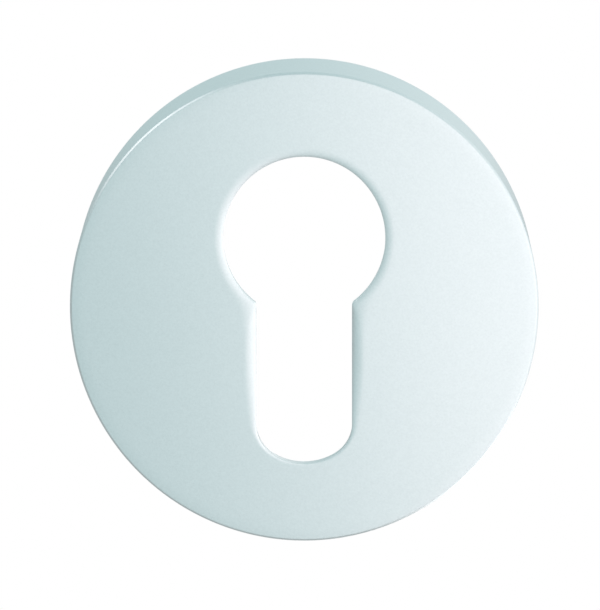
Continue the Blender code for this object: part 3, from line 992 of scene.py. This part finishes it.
def zinc_plated():
    """Bright zinc on cold-rolled sheet: bluish, with soft blotches and rolling grain."""
    s = Shader("zinc_plated")
    blotch = s.noise(420, 4.0)
    grain = s.noise(2600, 2.0, s.scaled(1.0, 1.0, 0.08))
    colour = s.blend(s.spread(blotch, 0.0, 1.0), (0.60, 0.63, 0.66), (0.72, 0.72, 0.70))
    colour = s.blend(s.spread(grain, 0.0, 0.25), colour, (0.50, 0.53, 0.57))
    s.set(Base_Color=colour, Metallic=1.0, Roughness=s.spread(blotch, 0.24, 0.40))
    s.bump([(grain, 6 * MICRON, 0.35), (blotch, 10 * MICRON, 0.2)])
    return s.material


def plated_fastener():
    """Zinc-plated screw steel: slight mottling, with duller grey patches."""
    s = Shader("plated_fastener")
    mottle = s.noise(2200, 3.0)
    dull = s.noise(700, 3.0)
    colour = s.blend(s.spread(mottle, 0.0, 1.0), (0.55, 0.57, 0.60), (0.70, 0.70, 0.69))
    colour = s.blend(s.spread(dull, 0.0, 0.4, 0.5, 0.8), colour, (0.36, 0.37, 0.39))
    s.set(Base_Color=colour, Metallic=1.0, Roughness=s.spread(mottle, 0.22, 0.38))
    s.bump([(mottle, 8 * MICRON, 0.3)])
    return s.material


def turned_nickel():
    """Nickel-plated turned steel: fine feed lines round the axis."""
    s = Shader("turned_nickel")
    feed = s.noise(7000, 2.0, s.scaled(0.02, 1.0, 0.02))
    haze = s.noise(500, 3.0)
    colour = s.blend(s.spread(haze, 0.0, 1.0), (0.66, 0.64, 0.60), (0.74, 0.72, 0.69))
    s.set(Base_Color=colour, Metallic=1.0, Roughness=s.spread(feed, 0.18, 0.34))
    s.bump([(feed, 6 * MICRON, 0.5)])
    return s.material


def rolled_spring():
    """Hardened spring strip: rolling lines along the leaf and a faint straw tint."""
    s = Shader("rolled_spring")
    lines = s.noise(6000, 2.0, s.scaled(0.05, 1.0, 0.05))
    tint = s.noise(300, 2.0)
    colour = s.blend(s.spread(tint, 0.0, 1.0), (0.47, 0.48, 0.50), (0.56, 0.53, 0.48))
    s.set(Base_Color=colour, Metallic=1.0, Roughness=s.spread(lines, 0.20, 0.36))
    s.bump([(lines, 5 * MICRON, 0.5)])
    return s.material


def dress(piece, body, node, material):
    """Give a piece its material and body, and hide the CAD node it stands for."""
    piece.data.materials.clear()
    piece.data.materials.append(material)
    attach(piece, body)
    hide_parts(node)


# ---------------------------------------------------------------- studio

def graded_light(tree, vector, level, slope, least, most):
    """Level and tint sockets of a light: it rises along a slope from its level, stays between a
    least and a most with soft knees, and is cooler where it's dim."""
    along = tree.nodes.new("ShaderNodeVectorMath")
    along.operation = "DOT_PRODUCT"
    along.inputs[1].default_value = slope
    tree.links.new(vector, along.inputs[0])
    rising = tree.nodes.new("ShaderNodeMath")
    rising.inputs[1].default_value = level
    tree.links.new(along.outputs["Value"], rising.inputs[0])
    strength = rising
    for operation, limit in (("SMOOTH_MAX", least), ("SMOOTH_MIN", most)):
        limited = tree.nodes.new("ShaderNodeMath")
        limited.operation = operation
        limited.inputs[1].default_value = limit
        limited.inputs[2].default_value = LIGHT_KNEE
        tree.links.new(strength.outputs["Value"], limited.inputs[0])
        strength = limited
    share = tree.nodes.new("ShaderNodeMapRange")
    share.inputs["From Min"].default_value = DIM_LEVEL
    share.inputs["From Max"].default_value = BRIGHT_LEVEL
    tree.links.new(strength.outputs["Value"], share.inputs["Value"])
    tint = tree.nodes.new("ShaderNodeMix")
    tint.data_type = "RGBA"
    tint.inputs[6].default_value = (*DIM_TINT, 1.0)
    tint.inputs[7].default_value = (*BRIGHT_TINT, 1.0)
    tree.links.new(share.outputs["Result"], tint.inputs["Factor"])
    return strength.outputs["Value"], tint.outputs[2]


def split_by_camera(tree, around, seen, surface):
    """Send one shader to camera rays and another to all other rays."""
    path = tree.nodes.new("ShaderNodeLightPath")
    mix = tree.nodes.new("ShaderNodeMixShader")
    tree.links.new(path.outputs["Is Camera Ray"], mix.inputs["Fac"])
    tree.links.new(around, mix.inputs[1])
    tree.links.new(seen, mix.inputs[2])
    tree.links.new(mix.outputs["Shader"], surface)


def studio_sheet(name, corners):
    """Four-cornered sheet that isn't part of the object, and its material's empty node tree."""
    mesh = bpy.data.meshes.new(name)
    mesh.from_pydata(corners, [], [(0, 1, 2, 3)])
    sheet = bpy.data.objects.new(name, mesh)
    bpy.context.scene.collection.objects.link(sheet)
    material = bpy.data.materials.new(name)
    material.use_nodes = True
    material.node_tree.nodes.clear()
    mesh.materials.append(material)
    return sheet, material.node_tree


def make_card(name, centre, facing, size, level, slope=(0.0, 0.0, 0.0), least=0.0, most=NO_CAP):
    """Glowing card that the camera doesn't see; its light may rise along its own X and Z."""
    across = size[0] / 2
    up = size[1] / 2
    corners = [(-across, 0, -up), (across, 0, -up), (across, 0, up), (-across, 0, up)]
    card, tree = studio_sheet(name, corners)
    card.location = centre
    card.rotation_euler = Vector(facing).to_track_quat("Y", "Z").to_euler()
    card.visible_camera = False
    coords = tree.nodes.new("ShaderNodeTexCoord")
    strength, tint = graded_light(tree, coords.outputs["Object"], level, slope, least, most)
    light = tree.nodes.new("ShaderNodeEmission")
    out = tree.nodes.new("ShaderNodeOutputMaterial")
    tree.links.new(strength, light.inputs["Strength"])
    tree.links.new(tint, light.inputs["Color"])
    tree.links.new(light.outputs["Emission"], out.inputs["Surface"])


def make_lights():
    """Soft cards round the object."""
    # In front: the broad light that the face reflects, brighter towards one side.
    make_card("front_card", centre=(0.0, -0.085, -0.03), facing=(0, 1, 0), size=(0.20, 0.15),
              level=0.985, slope=(11.8, 0.0, 2.8), least=0.70, most=1.50)
    # To the right: for the edges that turn that way, above all the opening's left flank.
    make_card("right_card", centre=(0.15, -0.02, -0.06), facing=(-1, 0, 0), size=(0.20, 0.24),
              level=1.30, slope=(-8.0, 0.0, 0.0), least=0.9)
    # Above and to the left: for the highlight along the chamfer.
    make_card("upper_left_card", centre=(-0.18, -0.05, 0.15), facing=(0.8, 0.15, -0.55),
              size=(0.15, 0.15), level=1.9)
    # Behind the opening: for the steepest part of its rolled edge.
    make_card("behind_card", centre=(0.0085, 0.05, -0.011), facing=(0, -1, 0),
              size=(0.027, 0.028), level=1.33, slope=(-40.0, 0.0, 0.0), least=0.8)
    # Below and to the right: for the edge that fades into the background there.
    make_card("low_right_card", centre=(0.065, 0.01, -0.095), facing=(-0.3, 0, 1),
              size=(0.10, 0.10), level=1.8)


def make_world():
    """White to the camera; to the object a soft studio, brighter to the right."""
    world = bpy.data.worlds.new("studio")
    world.use_nodes = True
    bpy.context.scene.world = world
    tree = world.node_tree
    tree.nodes.clear()
    seen = tree.nodes.new("ShaderNodeBackground")
    seen.inputs["Color"].default_value = (1.0, 1.0, 1.0, 1.0)
    around = tree.nodes.new("ShaderNodeBackground")
    coords = tree.nodes.new("ShaderNodeTexCoord")
    strength, tint = graded_light(tree, coords.outputs["Generated"], WORLD_LEVEL, WORLD_SLOPE,
                                  WORLD_LEAST, NO_CAP)
    tree.links.new(strength, around.inputs["Strength"])
    tree.links.new(tint, around.inputs["Color"])
    out = tree.nodes.new("ShaderNodeOutputWorld")
    split_by_camera(tree, around.outputs["Background"], seen.outputs["Background"],
                    out.inputs["Surface"])


def make_floor():
    """Pale floor well below the object; the camera sees it white."""
    size = FLOOR_HALF_WIDTH
    z = cad_low.z - FLOOR_DROP
    _, tree = studio_sheet("floor", [(-size, -size, z), (size, -size, z),
                                     (size, size, z), (-size, size, z)])
    pale = tree.nodes.new("ShaderNodeEmission")
    pale.inputs["Color"].default_value = FLOOR_COLOUR
    pale.inputs["Strength"].default_value = FLOOR_LEVEL
    white = tree.nodes.new("ShaderNodeEmission")
    out = tree.nodes.new("ShaderNodeOutputMaterial")
    split_by_camera(tree, pale.outputs["Emission"], white.outputs["Emission"],
                    out.inputs["Surface"])


def make_camera():
    """Level camera with its lens shifted down; the shift is off once the camera is moved."""
    data = bpy.data.cameras.new("camera")
    camera = bpy.data.objects.new("camera", data)
    bpy.context.scene.collection.objects.link(camera)
    camera.location = CAMERA_PLACE
    camera.rotation_euler = (math.pi / 2, 0.0, 0.0)
    data.lens = CAMERA_LENS
    data.sensor_width = CAMERA_SENSOR
    data.clip_start = CAMERA_NEAR
    standpoint = bpy.data.objects.new("standpoint", None)
    bpy.context.scene.collection.objects.link(standpoint)
    standpoint.location = CAMERA_PLACE
    for path, shift in (("shift_x", CAMERA_SHIFT_X), ("shift_y", CAMERA_SHIFT_Y)):
        driver = data.driver_add(path).driver
        driver.type = "SCRIPTED"
        away = driver.variables.new()
        away.name = "away"
        away.type = "LOC_DIFF"
        away.targets[0].id = camera
        away.targets[1].id = standpoint
        driver.expression = f"{shift} if away < {CAMERA_MOVED} else 0.0"
    bpy.context.scene.camera = camera


# ---------------------------------------------------------------- build

dress(make_cover(), "cover", "cover", satin_anodised())
dress(make_base(), "base", "under_rose", moulded_nylon())
dress(make_plate(), "base", "stiffening_plate", zinc_plated())

nickel = turned_nickel()
for lug in LUGS:
    dress(make_lug(lug, lug + "_turned"), "base", lug, nickel)

fastener = plated_fastener()
for number, screw in enumerate(SCREWS):
    start_turn = math.radians(SCREW_FIRST_TURN + SCREW_NEXT_TURN * number)
    threaded = make_screw(screw, screw + "_threaded", start_turn)
    dress(threaded, "base", screw, fastener)

spring = rolled_spring()
for clip in CLIPS:
    dress(make_clip(clip, clip + "_leaf"), clip, clip, spring)

make_world()
make_floor()
make_camera()
make_lights()
bpy.context.scene.view_settings.view_transform = "Standard"
